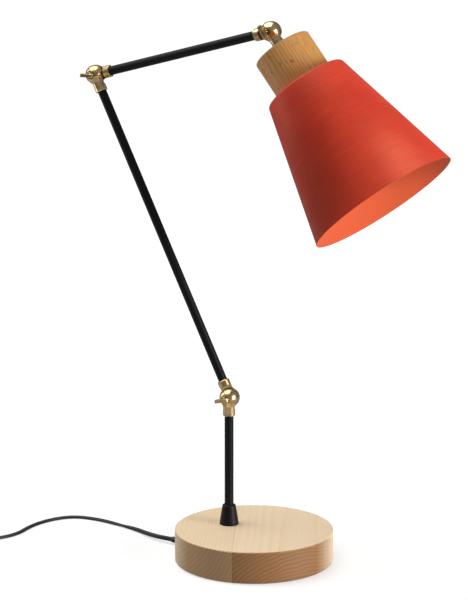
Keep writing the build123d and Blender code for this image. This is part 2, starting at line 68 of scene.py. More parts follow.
camera_back = Vector((
    math.sin(CAMERA_AZIMUTH) * math.cos(CAMERA_ELEVATION),
    -math.cos(CAMERA_AZIMUTH) * math.cos(CAMERA_ELEVATION),
    math.sin(CAMERA_ELEVATION),
))
camera_right = Vector((math.cos(CAMERA_AZIMUTH), math.sin(CAMERA_AZIMUTH), 0))
camera_up = camera_back.cross(camera_right)
camera_data = bpy.data.cameras.new("camera")
camera_data.sensor_fit = "VERTICAL"
camera_data.sensor_height = 24.0
camera_data.lens = 80.3
camera = bpy.data.objects.new("camera", camera_data)
turned = Matrix((camera_right, camera_up, camera_back)).transposed().to_4x4()
camera.matrix_world = Matrix.Translation(CAMERA_PLACE) @ turned
scene.collection.objects.link(camera)
scene.camera = camera
print("camera sees", round(math.degrees(camera_data.angle_y), 1), "degrees from top to bottom")

# %% [markdown]
# ## A few small helpers
# Nodes are the same in a material and in a Geometry Nodes tree, so one function adds any of them: it
# sets the node's options, and gives each input a value or a link. Sums and noise come up so often that
# each has a short form. Paint and wood colours are written as sRGB hex values, as in any colour picker,
# but the renderer works with linear light, so another function turns one into the other.

# %% Helpers for nodes and colours
def add(tree, kind, inputs=(), **options):
    """Adds a node, sets its options, and sets or links its inputs. Returns the node."""
    node = tree.nodes.new(kind)
    for name, value in options.items():
        setattr(node, name, value)
    for socket, value in dict(inputs).items():
        if isinstance(value, bpy.types.NodeSocket):
            tree.links.new(value, node.inputs[socket])
        else:
            node.inputs[socket].default_value = value
    return node


def linear(hex_colour):
    """An sRGB colour such as '#c8a878' as linear red, green, blue and alpha."""
    parts = [int(hex_colour[i:i + 2], 16) / 255 for i in (1, 3, 5)]
    return [c / 12.92 if c <= 0.04045 else ((c + 0.055) / 1.055) ** 2.4 for c in parts] + [1.0]


def per_metre(millimetres):
    """The scale that gives a noise or cell texture features of this size."""
    return 1000.0 / millimetres


def maths(tree, operation, *values):
    """The result of a Math node on numbers or links."""
    return add(tree, "ShaderNodeMath", dict(enumerate(values)), operation=operation).outputs[0]


def noise(tree, vector, millimetres, **inputs):
    """A noise pattern whose features are about this wide."""
    given = {"Vector": vector, "Scale": per_metre(millimetres), **inputs}
    return add(tree, "ShaderNodeTexNoise", given).outputs["Fac"]


print("mid grey in linear light:", round(linear("#808080")[0], 3))

# %% [markdown]
# ## The flex's route
# A mains flex lies under its own weight in one loose curve. Its line is a NURBS spline through a few
# control points, which can't kink. It leaves the base's strain relief, swings out over the table,
# passes through the switch, is wound up as for storage, and ends in the plug. The flex is flat, so its
# middle is 1.7 mm above the table where it lies flat, and 2.7 mm where it stands on edge in the coil.

# %% Route of the flex
FLEX_WIDTH = 5.3 * MM
FLEX_THICKNESS = 3.2 * MM
FLAT_Z = 0.0017
TO_SWITCH = [
    (-0.108, 0.0, 0.0056),
    (-0.125, 0.0, 0.0056),
    (-0.145, 0.008, 0.0040),
    (-0.168, 0.019, 0.0027),
    (-0.196, 0.0265, FLAT_Z),
    (-0.228, 0.032, FLAT_Z),
    (-0.261, 0.028, FLAT_Z),
    (-0.278, 0.004, FLAT_Z),
    (-0.284, -0.028, FLAT_Z),
    (-0.279, -0.060, FLAT_Z),
    (-0.287, -0.084, FLAT_Z),
    (-0.301, -0.104, 0.0036),
    (-0.321, -0.112, 0.0075),
    (-0.340, -0.112, 0.0075),
]
TO_COIL = [
    (-0.402, -0.112, 0.0075),
    (-0.411, -0.112, 0.0075),
    (-0.429, -0.112, 0.00275),
    (-0.438, -0.112, 0.00275),
]
TO_PLUG = [
    (-0.438, -0.0434, 0.0080),
    (-0.431, -0.0434, 0.0080),
    (-0.421, -0.0434, 0.00685),
    (-0.414, -0.0434, 0.00685),
]
COIL_MIDDLE = (-0.458, -0.0777)
TURN_RADII = (0.0343, 0.0290, 0.0237, 0.0237, 0.0237, 0.0290, 0.0290, 0.0343)
TURN_HEIGHTS = (0.00275, 0.00275, 0.00275, 0.0080, 0.0133, 0.0133, 0.0080, 0.0080)
HALF_TURNS = 15
POINTS_A_TURN = 16


def coil_points():
    """Clockwise turns from the coil's near side, each easing to the next size in its last quarter."""
    points = []
    for step in range(HALF_TURNS * POINTS_A_TURN // 2 + 1):
        turn, part = divmod(step / POINTS_A_TURN, 1.0)
        here, after = int(turn), min(int(turn) + 1, len(TURN_RADII) - 1)
        ease = max(0.0, (part - 0.75) / 0.25)
        radius = TURN_RADII[here] + (TURN_RADII[after] - TURN_RADII[here]) * ease
        height = TURN_HEIGHTS[here] + (TURN_HEIGHTS[after] - TURN_HEIGHTS[here]) * ease
        angle = -math.pi / 2 - 2 * math.pi * step / POINTS_A_TURN
        points.append((
            COIL_MIDDLE[0] + radius * math.cos(angle),
            COIL_MIDDLE[1] + radius * math.sin(angle),
            height,
        ))
    return points


route_points = TO_SWITCH + TO_COIL + coil_points() + TO_PLUG
route_data = bpy.data.curves.new("flex_route", "CURVE")
route_data.dimensions = "3D"
route_spline = route_data.splines.new("NURBS")
route_spline.points.add(len(route_points) - 1)
for point, place in zip(route_spline.points, route_points):
    point.co = (*place, 1.0)
route_spline.order_u = 3
route_spline.use_endpoint_u = True
route_data.resolution_u = 5
route = bpy.data.objects.new("flex_route", route_data)
scene.collection.objects.link(route)
bpy.context.view_layer.update()
route_mesh = bpy.data.meshes.new_from_object(route)
flex_path = [vertex.co.copy() for vertex in route_mesh.vertices]
bpy.data.meshes.remove(route_mesh)


def path_length(points):
    return sum((b - a).length for a, b in zip(points, points[1:]))


def length_before(x_limit):
    """Length of the flex up to where it first passes a place along X."""
    first = next(i for i, point in enumerate(flex_path) if point.x < x_limit)
    return path_length(flex_path[:first + 1])


flex_length = path_length(flex_path)
print("flex path has", len(flex_path), "points and is", round(flex_length, 3), "m long")

# %% [markdown]
# ## Geometry Nodes: a section swept along a path
# Twin flex is two round cores side by side in one PVC skin, so its section is a figure of eight. Curve
# to Mesh draws that section along the route. With its normals kept level, the curve's tilt alone says
# how the flex lies: it leaves the base on edge, twists to lie flat, and stands on edge again in the
# coil, because a flat flex only bends easily across its thin side. The same tree also makes the strap
# that ties the coil, so its sizes and materials are inputs.

# %% The sweep tree
def new_tree(name, inputs):
    """A Geometry Nodes tree with these named inputs, its input node and its output node."""
    tree = bpy.data.node_groups.new(name, "GeometryNodeTree")
    tree.interface.new_socket("Geometry", in_out="INPUT", socket_type="NodeSocketGeometry")
    tree.interface.new_socket("Geometry", in_out="OUTPUT", socket_type="NodeSocketGeometry")
    for label, kind in inputs.items():
        tree.interface.new_socket(label, in_out="INPUT", socket_type="NodeSocket" + kind)
    return tree, add(tree, "NodeGroupInput"), add(tree, "NodeGroupOutput")


def finish_tree(tree, given, made, output):
    """Every tree ends alike: real geometry, smooth, with its material."""
    smooth = add(tree, "GeometryNodeSetShadeSmooth", {"Geometry": made})
    real = add(tree, "GeometryNodeRealizeInstances", {"Geometry": smooth.outputs[0]})
    painted = add(tree, "GeometryNodeSetMaterial", {
        "Geometry": real.outputs[0], "Material": given.outputs["Material"],
    })
    tree.links.new(painted.outputs[0], output.inputs["Geometry"])


def sweep_tree():
    tree, given, output = new_tree("section swept along a path", {
        "Section": "Object", "Material": "Material", "Tilt at start": "Float",
        "Flat from": "Float", "Edge from": "Float", "Flat again from": "Float", "Twist length": "Float",
    })
    along = add(tree, "GeometryNodeSplineParameter").outputs["Length"]
    tilt = given.outputs["Tilt at start"]
    for place, sign in (("Flat from", -1), ("Edge from", 1), ("Flat again from", -1)):
        end = add(tree, "ShaderNodeMath", {
            0: given.outputs[place], 1: given.outputs["Twist length"],
        }, operation="ADD")
        eased = add(tree, "ShaderNodeMapRange", {
            "Value": along, "From Min": given.outputs[place], "From Max": end.outputs[0],
            "To Min": 0.0, "To Max": sign * math.pi / 2,
        }, interpolation_type="SMOOTHSTEP")
        tilt = maths(tree, "ADD", tilt, eased.outputs["Result"])
    level = add(tree, "GeometryNodeSetCurveNormal", {"Curve": given.outputs["Geometry"]}, mode="Z_UP")
    turned_curve = add(tree, "GeometryNodeSetCurveTilt", {"Curve": level.outputs[0], "Tilt": tilt})
    section = add(tree, "GeometryNodeObjectInfo", {"Object": given.outputs["Section"]})
    skin = add(tree, "GeometryNodeCurveToMesh", {
        "Curve": turned_curve.outputs[0], "Profile Curve": section.outputs["Geometry"], "Fill Caps": True,
    })
    finish_tree(tree, given, skin.outputs[0], output)
    return tree


def bake(name, source_data, tree, inputs):
    """Runs a tree on a curve or mesh and keeps the result as a plain mesh object at the origin."""
    maker = bpy.data.objects.new(name + "_maker", source_data)
    scene.collection.objects.link(maker)
    modifier = maker.modifiers.new(name, "NODES")
    modifier.node_group = tree
    for item in tree.interface.items_tree:
        if item.in_out == "INPUT" and item.name in inputs:
            modifier[item.identifier] = inputs[item.name]
    graph = bpy.context.evaluated_depsgraph_get()
    mesh = bpy.data.meshes.new_from_object(maker.evaluated_get(graph), depsgraph=graph)
    mesh.name = name
    bpy.data.objects.remove(maker)
    piece = bpy.data.objects.new(name, mesh)
    scene.collection.objects.link(piece)
    if not mesh.materials:
        mesh.materials.append(inputs["Material"])
    print(name, "has", len(mesh.vertices), "vertices")
    return piece


def closed_section(name, corners):
    """A closed poly curve in XY, used as the section of a sweep."""
    data = bpy.data.curves.new(name, "CURVE")
    data.dimensions = "3D"
    spline = data.splines.new("POLY")
    spline.points.add(len(corners) - 1)
    for point, corner in zip(spline.points, corners):
        point.co = (*corner, 0.0, 1.0)
    spline.use_cyclic_u = True
    section = bpy.data.objects.new(name, data)
    scene.collection.objects.link(section)
    return section


sweep = sweep_tree()
print("sweep tree has", len(sweep.nodes), "nodes")

# %% [markdown]
# ## Materials: where each one starts
# Every finish is a Principled shader with its own pattern. The pattern is laid on Object coordinates,
# which are metres here, so a pattern's scale follows from a real size: the width of a growth ring or
# the pitch of a spinning mark. Values that are the same all over are set on the shader itself.

# %% A new material and its coordinates
def new_material(name, **shader_values):
    """An empty Principled material. Returns it, its tree and its shader."""
    material = bpy.data.materials.new(name)
    material.use_nodes = True
    tree = material.node_tree
    shader = tree.nodes["Principled BSDF"]
    for socket, value in shader_values.items():
        shader.inputs[socket.replace("_", " ")].default_value = value
    return material, tree, shader


def object_place(tree, stretch=(1, 1, 1), centre=(0, 0, 0), turn=(0, 0, 0)):
    """Object coordinates in a pattern's own frame. Returns them and their stretched copy."""
    source = add(tree, "ShaderNodeTexCoord").outputs["Object"]
    own = add(tree, "ShaderNodeMapping", {
        "Vector": source, "Location": centre, "Rotation": turn,
    }, vector_type="TEXTURE").outputs[0]
    stretched = add(tree, "ShaderNodeMapping", {"Vector": own, "Scale": stretch}).outputs[0]
    return own, stretched


def mixed(tree, factor, first, second, blend="MIX"):
    """Mixes two colours by a factor."""
    node = add(tree, "ShaderNodeMix", {
        "Factor": factor, 6: first, 7: second,
    }, data_type="RGBA", blend_type=blend)
    return node.outputs[2]


def ranged(tree, value, low, high, to_low=0.0, to_high=1.0):
    """Maps a value from one range to another, held at the ends."""
    node = add(tree, "ShaderNodeMapRange", {
        "Value": value, "From Min": low, "From Max": high, "To Min": to_low, "To Max": to_high,
    })
    return node.outputs["Result"]


def raise_surface(tree, shader, height, depth_mm, strength=1.0):
    """Lets a pattern stand out by this depth as bump."""
    bump = add(tree, "ShaderNodeBump", {
        "Height": height, "Distance": depth_mm * MM, "Strength": strength,
    })
    tree.links.new(bump.outputs[0], shader.inputs["Normal"])


print("materials start from", bpy.app.version_string, "Principled BSDF")

# %% [markdown]
# ## Solid beech
# Beech is pale and fine, with faint growth rings, short dark flecks along the grain, and darker end
# grain that drinks in the oil. A picture of wood would slide round a corner, so the wood is solid: growth
# rings are cylinders about the tree's heart, and each surface shows where it cuts them. The base is
# glued from two blocks whose hearts lie in different places, which is why its side shows upright
# lines left of the glue line and arcs right of it.

# %% Solid beech
GRAIN_STRETCH = 0.045
FLECK_STRETCH = 0.4


def solid_beech(
    name, centre, turn, heart, ring_mm, early, late, end_grain, fleck, second=None,
    fibre_contrast=0.45, fleck_from=0.50, fleck_size=0.2,
):
    """Beech with its grain along the pattern's own Y. second is (glue line, heart) of another block."""
    material, tree, shader = new_material(name, Roughness=0.5, Coat_Weight=0.08, Coat_Roughness=0.35)
    own, along = object_place(tree, (1, GRAIN_STRETCH, 1), centre, turn)
    hearts = heart
    across = add(tree, "ShaderNodeSeparateXYZ", {0: own}).outputs[0]
    if second:
        glue_line, other_heart = second
        side = maths(tree, "GREATER_THAN", across, glue_line)
        hearts = add(tree, "ShaderNodeMix", {
            0: side, 4: heart, 5: other_heart,
        }, data_type="VECTOR").outputs[1]
    sway = add(tree, "ShaderNodeTexNoise", {"Vector": along, "Scale": per_metre(22), "Detail": 2.0})
    swayed = add(tree, "ShaderNodeVectorMath", {
        0: sway.outputs["Color"], 1: (0.5, 0.5, 0.5),
    }, operation="SUBTRACT")
    bent = add(tree, "ShaderNodeVectorMath", {
        0: swayed.outputs[0], 1: (0.007, 0.0, 0.007), 2: own,
    }, operation="MULTIPLY_ADD")
    from_heart = add(tree, "ShaderNodeVectorMath", {0: bent.outputs[0], 1: hearts}, operation="SUBTRACT")
    # a wave texture's ring is 0.314 units wide at a scale of 1
    rings = add(tree, "ShaderNodeTexWave", {
        "Vector": from_heart.outputs[0], "Scale": 0.314 * per_metre(ring_mm), "Distortion": 0.0,
    }, wave_type="RINGS", rings_direction="Y", wave_profile="SAW").outputs["Fac"]
    ring_edge = ranged(tree, rings, 0.45, 0.95)
    # real fibres are 0.02 mm wide; these are drawn 1.1 mm wide, to show
    fibres = noise(tree, along, 1.1, Detail=3.0, Roughness=0.65)
    cloud = noise(tree, along, 30)
    drawn_out = add(tree, "ShaderNodeVectorMath", {
        0: own, 1: (1, FLECK_STRETCH, 1),
    }, operation="MULTIPLY")
    cells = add(tree, "ShaderNodeTexVoronoi", {
        "Vector": drawn_out.outputs[0], "Scale": per_metre(2.4),
    }).outputs["Distance"]
    rare = noise(tree, own, 9, Detail=1.0)
    dots = ranged(tree, cells, fleck_size, fleck_size / 2)
    patches = ranged(tree, rare, fleck_from, fleck_from + 0.1)
    flecks = maths(tree, "MULTIPLY", dots, patches)
    flecks_shown = maths(tree, "MULTIPLY", flecks, 0.55)
    ring_strength = ranged(tree, cloud, 0.35, 0.65, 0.15, 0.75)
    darker = maths(tree, "MULTIPLY", ring_edge, ring_strength)
    face = mixed(tree, darker, linear(early), linear(late))
    face = mixed(tree, ranged(tree, fibres, 0.3, 0.7, 0.0, fibre_contrast), face, linear(late))
    face = mixed(tree, ranged(tree, cloud, 0.35, 0.65, 0.0, 0.35), face, linear(early))
    # the end of the grain shows where the surface faces along it
    normal = add(tree, "ShaderNodeTexCoord").outputs["Normal"]
    turned_normal = add(tree, "ShaderNodeMapping", {
        "Vector": normal, "Rotation": turn,
    }, vector_type="TEXTURE")
    facing = add(tree, "ShaderNodeSeparateXYZ", {0: turned_normal.outputs[0]}).outputs[1]
    end_on = ranged(tree, maths(tree, "ABSOLUTE", facing), 0.15, 0.6)
    end_rings = mixed(tree, ranged(tree, rings, 0.2, 0.95), linear(end_grain[0]), linear(end_grain[1]))
    colour = mixed(tree, end_on, face, end_rings)
    colour = mixed(tree, flecks_shown, colour, linear(fleck))
    if second:
        # the glue line is 0.1 mm wide, drawn 0.5 mm wide to show
        off_line = maths(tree, "SUBTRACT", across, glue_line)
        near = maths(tree, "ABSOLUTE", off_line)
        colour = mixed(tree, ranged(tree, near, 0.0006, 0.0002, 0.0, 0.25), colour, linear(fleck))
        left_block = ranged(tree, side, 0.0, 1.0, 0.26, 0.0)
        colour = mixed(tree, left_block, colour, linear(late))
    tree.links.new(colour, shader.inputs["Base Color"])
    tree.links.new(ranged(tree, fibres, 0.2, 0.8, 0.58, 0.44), shader.inputs["Roughness"])
    raise_surface(tree, shader, fibres, 0.06, 0.5)
    return material


BLOCK_TURN = math.radians(27.3)
base_beech = solid_beech(
    "laminated beech, oiled", (0, 0, 0), (0, 0, BLOCK_TURN),
    heart=(-0.118, 0.0, 0.062), ring_mm=4.2, early="#f1dab9", late="#dfc49a",
    end_grain=("#a27244", "#8a5f38"), fleck="#6f4a2c",
    second=(-0.0205, (0.052, 0.0, -0.054)),
)
HEAD_TILT = math.radians(38.0)
head_axis = Vector((math.sin(HEAD_TILT), 0, -math.cos(HEAD_TILT)))
cup_low, cup_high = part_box("socket_cup")
head_turn = math.pi - HEAD_TILT
SWIVEL_STEP = 1.2 * MM
head_pivot = next(joint["pos_m"] for joint in frame["joints"] if joint["name"] == "head_swivel")
head_centre = (head_pivot[0], head_pivot[1] - SWIVEL_STEP, head_pivot[2])
cup_beech = solid_beech(
    "honey beech, oiled", head_centre, (math.pi / 2, head_turn, 0),
    heart=(0.026, 0.0, 0.060), ring_mm=3.4, early="#d39c55", late="#8c5222",
    end_grain=("#a87038", "#804e24"), fleck="#3f210c",
    fibre_contrast=0.7, fleck_from=0.55, fleck_size=0.45,
)
print("beech base and cup; the cup is", round((cup_high - cup_low).length, 3), "m across its box")

# %% [markdown]
# ## Satin red enamel on a spun shade
# The shade is spun on a lathe from a flat disc, which leaves fine rings, and is then sprayed. Satin
# enamel is a dielectric over a strong pigment, here with a warm tint in its sheen. The inside is painted
# lighter and more orange: painted light, standing in for the light caught inside the shade. The rings
# are a noise that is squeezed along the shade's axis, so they run round it.

# %% Satin enamel
def satin_enamel(name, colour, deep, painted_light_inside):
    material, tree, shader = new_material(
        name, Specular_IOR_Level=0.5, Specular_Tint=linear("#ffb080"),
    )
    # spinning marks are about 0.3 mm apart; drawn 0.8 mm apart, to show
    own, rings = object_place(tree, (14, 14, per_metre(0.8)), head_centre, (0, head_turn, 0))
    marks = add(tree, "ShaderNodeTexNoise", {
        "Vector": rings, "Scale": 1.0, "Detail": 4.0, "Roughness": 0.7,
    }).outputs["Fac"]
    drift = noise(tree, own, 40)
    peel = noise(tree, own, 0.9, Detail=2.0)
    tone = mixed(tree, ranged(tree, marks, 0.35, 0.65, 0.0, 0.35), linear(colour), linear(deep))
    tone = mixed(tree, ranged(tree, drift, 0.3, 0.7, 0.0, 0.3), tone, linear(deep))
    # the inner face is the one whose normal points to the shade's axis; it gets painted light, a lighter
    # and more orange colour standing in for the light caught inside the shade
    outward = add(tree, "ShaderNodeVectorMath", {0: own, 1: (1, 1, 0)}, operation="MULTIPLY").outputs[0]
    normal = add(tree, "ShaderNodeTexCoord").outputs["Normal"]
    turned_normal = add(tree, "ShaderNodeMapping", {
        "Vector": normal, "Rotation": (0, head_turn, 0),
    }, vector_type="TEXTURE")
    faces_out = add(tree, "ShaderNodeVectorMath", {
        0: turned_normal.outputs[0], 1: outward,
    }, operation="DOT_PRODUCT")
    painted_light_inside_mask = ranged(tree, faces_out.outputs["Value"], 0.001, -0.001)
    tone = mixed(tree, painted_light_inside_mask, tone, linear(painted_light_inside))
    tree.links.new(tone, shader.inputs["Base Color"])
    tree.links.new(ranged(tree, marks, 0.25, 0.75, 0.46, 0.58), shader.inputs["Roughness"])
    height = maths(tree, "MULTIPLY_ADD", peel, 0.35, marks)
    raise_surface(tree, shader, height, 0.05, 0.45)
    return material


# the last colour is painted light: the lighter, more orange inside of the shade
red_enamel = satin_enamel("satin red enamel on spun steel", "#ce402b", "#9a1d1a", "#dc603d")
print("enamel:", red_enamel.name)

# %% [markdown]
# ## Black powder coat
# The tubes are steel with a baked powder coat: near black, matt, with a fine orange peel that breaks
# up the highlight along each tube.

# %% Black powder coat
def powder_coat(name, colour, worn):
    material, tree, shader = new_material(name, Roughness=0.45, Specular_IOR_Level=0.18)
    own, _ = object_place(tree)
    peel = noise(tree, own, 0.8, Detail=3.0)
    drift = noise(tree, own, 25, Detail=2.0)
    tree.links.new(mixed(tree, drift, linear(colour), linear(worn)), shader.inputs["Base Color"])
    tree.links.new(ranged(tree, peel, 0.3, 0.7, 0.38, 0.52), shader.inputs["Roughness"])
    raise_surface(tree, shader, peel, 0.015, 0.4)
    return material


black_coat = powder_coat("matt black powder coat", "#08080a", "#0d0d0f")
print("coat:", black_coat.name)

# %% [markdown]
# ## Metals
# Turned brass is a soft mirror, with faint turning marks and a slightly browner bloom where hands
# touch it. Zinc-plated steel is greyer and rougher, with a cloudy spangle. Both are fully metallic, and
# their colour is the colour of their reflection, so one function makes both.

# %% Brass and zinc-plated steel
def metal(name, bright, dull, smooth, rough, bloom_mm):
    material, tree, shader = new_material(name, Metallic=1.0)
    own, _ = object_place(tree)
    bloom = noise(tree, own, bloom_mm, Detail=3.0)
    # turning marks, 0.1 mm apart on the real part and 1.5 mm here
    marks = noise(tree, own, 1.5, Detail=3.0)
    tone = mixed(tree, ranged(tree, bloom, 0.35, 0.7), linear(bright), linear(dull))
    tree.links.new(tone, shader.inputs["Base Color"])
    tree.links.new(ranged(tree, marks, 0.3, 0.7, smooth, rough), shader.inputs["Roughness"])
    raise_surface(tree, shader, marks, 0.001, 0.3)
    return material


brass = metal("polished brass", "#dfc698", "#a88a58", 0.23, 0.28, 5.0)
plated_steel = metal("zinc-plated steel", "#c4c6c8", "#9ea1a4", 0.28, 0.42, 4.0)
print("metals:", brass.name, "and", plated_steel.name)

# %% [markdown]
# ## Plastics, porcelain and felt
# Soft PVC has a dull waxy skin. The switch and plug are moulded in a spark-eroded tool, which leaves a
# fine even grain. The lamp holder is black phenolic, glossy and faintly mottled, round a glazed porcelain
# core. All are dielectrics that differ in grain, gloss and colour, so they share one function. Felt is
# a mat of fibres that catches light at its edges, so it gets sheen.

# %% Moulded materials and felt
def moulded(name, colour, second, grain_mm, depth_mm, smooth, rough, **shader_values):
    material, tree, shader = new_material(name, **shader_values)
    own, _ = object_place(tree)
    grain = noise(tree, own, grain_mm, Detail=3.0)
    mottle = noise(tree, own, 14, Detail=2.0)
    tree.links.new(mixed(tree, mottle, linear(colour), linear(second)), shader.inputs["Base Color"])
    tree.links.new(ranged(tree, grain, 0.3, 0.7, smooth, rough), shader.inputs["Roughness"])
    raise_surface(tree, shader, grain, depth_mm, 0.6)
    return material


def wool_felt(name, colour, second):
    material, tree, shader = new_material(
        name, Roughness=0.95, Sheen_Weight=0.4, Sheen_Roughness=0.5,
    )
    own, _ = object_place(tree)
    hairs = noise(tree, own, 1.2, Detail=6.0, Roughness=0.75, Distortion=1.5)
    tone = mixed(tree, ranged(tree, hairs, 0.35, 0.65), linear(colour), linear(second))
    tree.links.new(tone, shader.inputs["Base Color"])
    raise_surface(tree, shader, hairs, 0.4, 0.8)
    return material


soft_pvc = moulded("soft black PVC", "#111112", "#18181a", 0.9, 0.03, 0.40, 0.52, IOR=1.53)
moulded_abs = moulded("black moulded ABS", "#141415", "#19191b", 0.7, 0.05, 0.42, 0.55, IOR=1.54)
phenolic = moulded("black phenolic, glossy", "#120e0c", "#1e1713", 3.0, 0.01, 0.16, 0.24, IOR=1.6)
porcelain = moulded(
    "glazed porcelain", "#ece7da", "#ddd5c3", 2.0, 0.01, 0.12, 0.2, IOR=1.5, Coat_Weight=0.6,
)
nylon = moulded("natural nylon", "#e3dfd2", "#d2ccba", 1.0, 0.03, 0.4, 0.5, IOR=1.53)
felt = wool_felt("black wool felt", "#0e0e0f", "#232325")
print("moulded materials:", soft_pvc.name, "|", moulded_abs.name, "|", phenolic.name)

# %% [markdown]
# ## Dressing the CAD parts
# A CAD part whose shape is right keeps its mesh, and only gets its material: each of its object's slots is
# pointed at the new one. The table below says what each part is made of, which is also how a workshop
# would list them.

# %% Materials of the CAD parts
MADE_OF = {
    base_beech: ["base_disc"],
    cup_beech: ["socket_cup"],
    black_coat: ["stem_tube", "stem_foot_cone", "main_arm_tube", "upper_arm_tube"],
    brass: [
        "lower_swivel_front", "lower_swivel_rear", "elbow_swivel_front", "elbow_swivel_rear",
        "head_swivel_front", "head_swivel_rear", "lower_thumb_screw", "elbow_thumb_screw",
        "head_thumb_screw", "cup_nipple", "screw_shell", "centre_contact", "plug_pins",
    ],
    plated_steel: ["base_weight", "weight_screws", "stem_washer", "stem_nut", "cup_nut", "switch_screws"],
    felt: ["base_pad"],
    soft_pvc: [
        "strain_relief", "supply_tail", "stem_lead", "main_arm_lead", "upper_arm_lead",
        "lower_swivel_washer", "elbow_swivel_washer", "head_swivel_washer",
    ],
    moulded_abs: ["switch_lower_shell", "switch_upper_shell", "switch_rocker", "plug_body", "pin_sleeves"],
    phenolic: ["holder_cap", "holder_shell", "shade_ring"],
    porcelain: ["holder_insulator"],
    nylon: ["terminal_block"],
}
for material, names in MADE_OF.items():
    for name in names:
        part = frame["nodes"][name]
        if not part.material_slots:
            part.data.materials.append(material)
        for material_slot in part.material_slots:
            material_slot.material = material
print("dressed", sum(len(names) for names in MADE_OF.values()), "parts")

# %% [markdown]
# ## The flex and its tie
# Now the sweep tree runs twice. The flex takes the figure-of-eight section and the four places where
# its lie changes. The tie is a hook-and-loop strap: a thin flat section swept round the coil's bundle.

# %% Flex
CORE_OFFSET = (FLEX_WIDTH - FLEX_THICKNESS) / 2
CORE_RADIUS = FLEX_THICKNESS / 2
LOBE_STEPS = 9
lobe_reach = math.pi - math.acos(CORE_OFFSET / CORE_RADIUS)
right_lobe = [
    (
        CORE_OFFSET + CORE_RADIUS * math.cos(lobe_reach * (2 * step / LOBE_STEPS - 1)),
        CORE_RADIUS * math.sin(lobe_reach * (2 * step / LOBE_STEPS - 1)),
    )
    for step in range(LOBE_STEPS + 1)
]
left_lobe = [(-x, -y) for x, y in right_lobe[1:-1]]
flex_section = closed_section("flex_section", right_lobe + left_lobe)
TWIST = 0.045
FLAT_FROM = 0.055
EDGE_FROM = length_before(-0.403)
FLAT_AGAIN_FROM = flex_length - 0.070
flex = bake("mains_flex", route_data, sweep, {
    "Section": flex_section, "Material": soft_pvc, "Tilt at start": math.pi / 2,
    "Flat from": FLAT_FROM, "Edge from": EDGE_FROM, "Flat again from": FLAT_AGAIN_FROM,
    "Twist length": TWIST,
})
print("flex turns on edge", round(EDGE_FROM, 3), "m along it")

# %% Tie round the coil
TIE_WIDTH = 0.010
TIE_THICKNESS = 0.0010
TIE_AT = (COIL_MIDDLE[0] - 0.0290, COIL_MIDDLE[1])
BUNDLE_HALF = (0.0076, 0.0078)
BUNDLE_MIDDLE = 0.0083
BUNDLE_CORNER = 0.0030
NEVER = 9.0
CORNER_STEPS = 5
tie_data = bpy.data.curves.new("tie_path", "CURVE")
tie_data.dimensions = "3D"
tie_points = []
for quarter in range(4):
    sign_x = (1, -1, -1, 1)[quarter]
    sign_z = (1, 1, -1, -1)[quarter]
    for step in range(CORNER_STEPS + 1):
        angle = math.pi / 2 * (quarter + step / CORNER_STEPS)
        tie_points.append((
            TIE_AT[0] + sign_x * (BUNDLE_HALF[0] - BUNDLE_CORNER) + BUNDLE_CORNER * math.cos(angle),
            TIE_AT[1],
            BUNDLE_MIDDLE + sign_z * (BUNDLE_HALF[1] - BUNDLE_CORNER) + BUNDLE_CORNER * math.sin(angle),
        ))
tie_spline = tie_data.splines.new("POLY")
tie_spline.points.add(len(tie_points) - 1)
for point, place in zip(tie_spline.points, tie_points):
    point.co = (*place, 1.0)
tie_spline.use_cyclic_u = True
half_width, half_thickness = TIE_WIDTH / 2, TIE_THICKNESS / 2
tie_section = closed_section("tie_section", [
    (-half_width, -half_thickness), (half_width, -half_thickness),
    (half_width, half_thickness), (-half_width, half_thickness),
])
tie = bake("coil_tie", tie_data, sweep, {
    "Section": tie_section, "Material": felt, "Tilt at start": 0.0,
    "Flat from": NEVER, "Edge from": NEVER, "Flat again from": NEVER, "Twist length": 1.0,
})
for helper in (route, flex_section, tie_section):
    bpy.data.objects.remove(helper)

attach(flex, "base")
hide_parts("cord_lead", "cord_link", "cord_tail", "cord_coil")
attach(tie, "base")
print("the flex stands for the CAD cord")

# %% [markdown]
# ## Geometry Nodes: the spun shade
# A spun shade follows one rule: a profile turned about an axis. The tree makes the profile from three
# corners, rounds its shoulder, and then lets each row of a grid take the place of one profile point
# and each column one angle. Merging the seam closes it. Solidify gives the sheet its thickness, and
# the result is turned into the head's place, since the finished object has to sit at the origin.

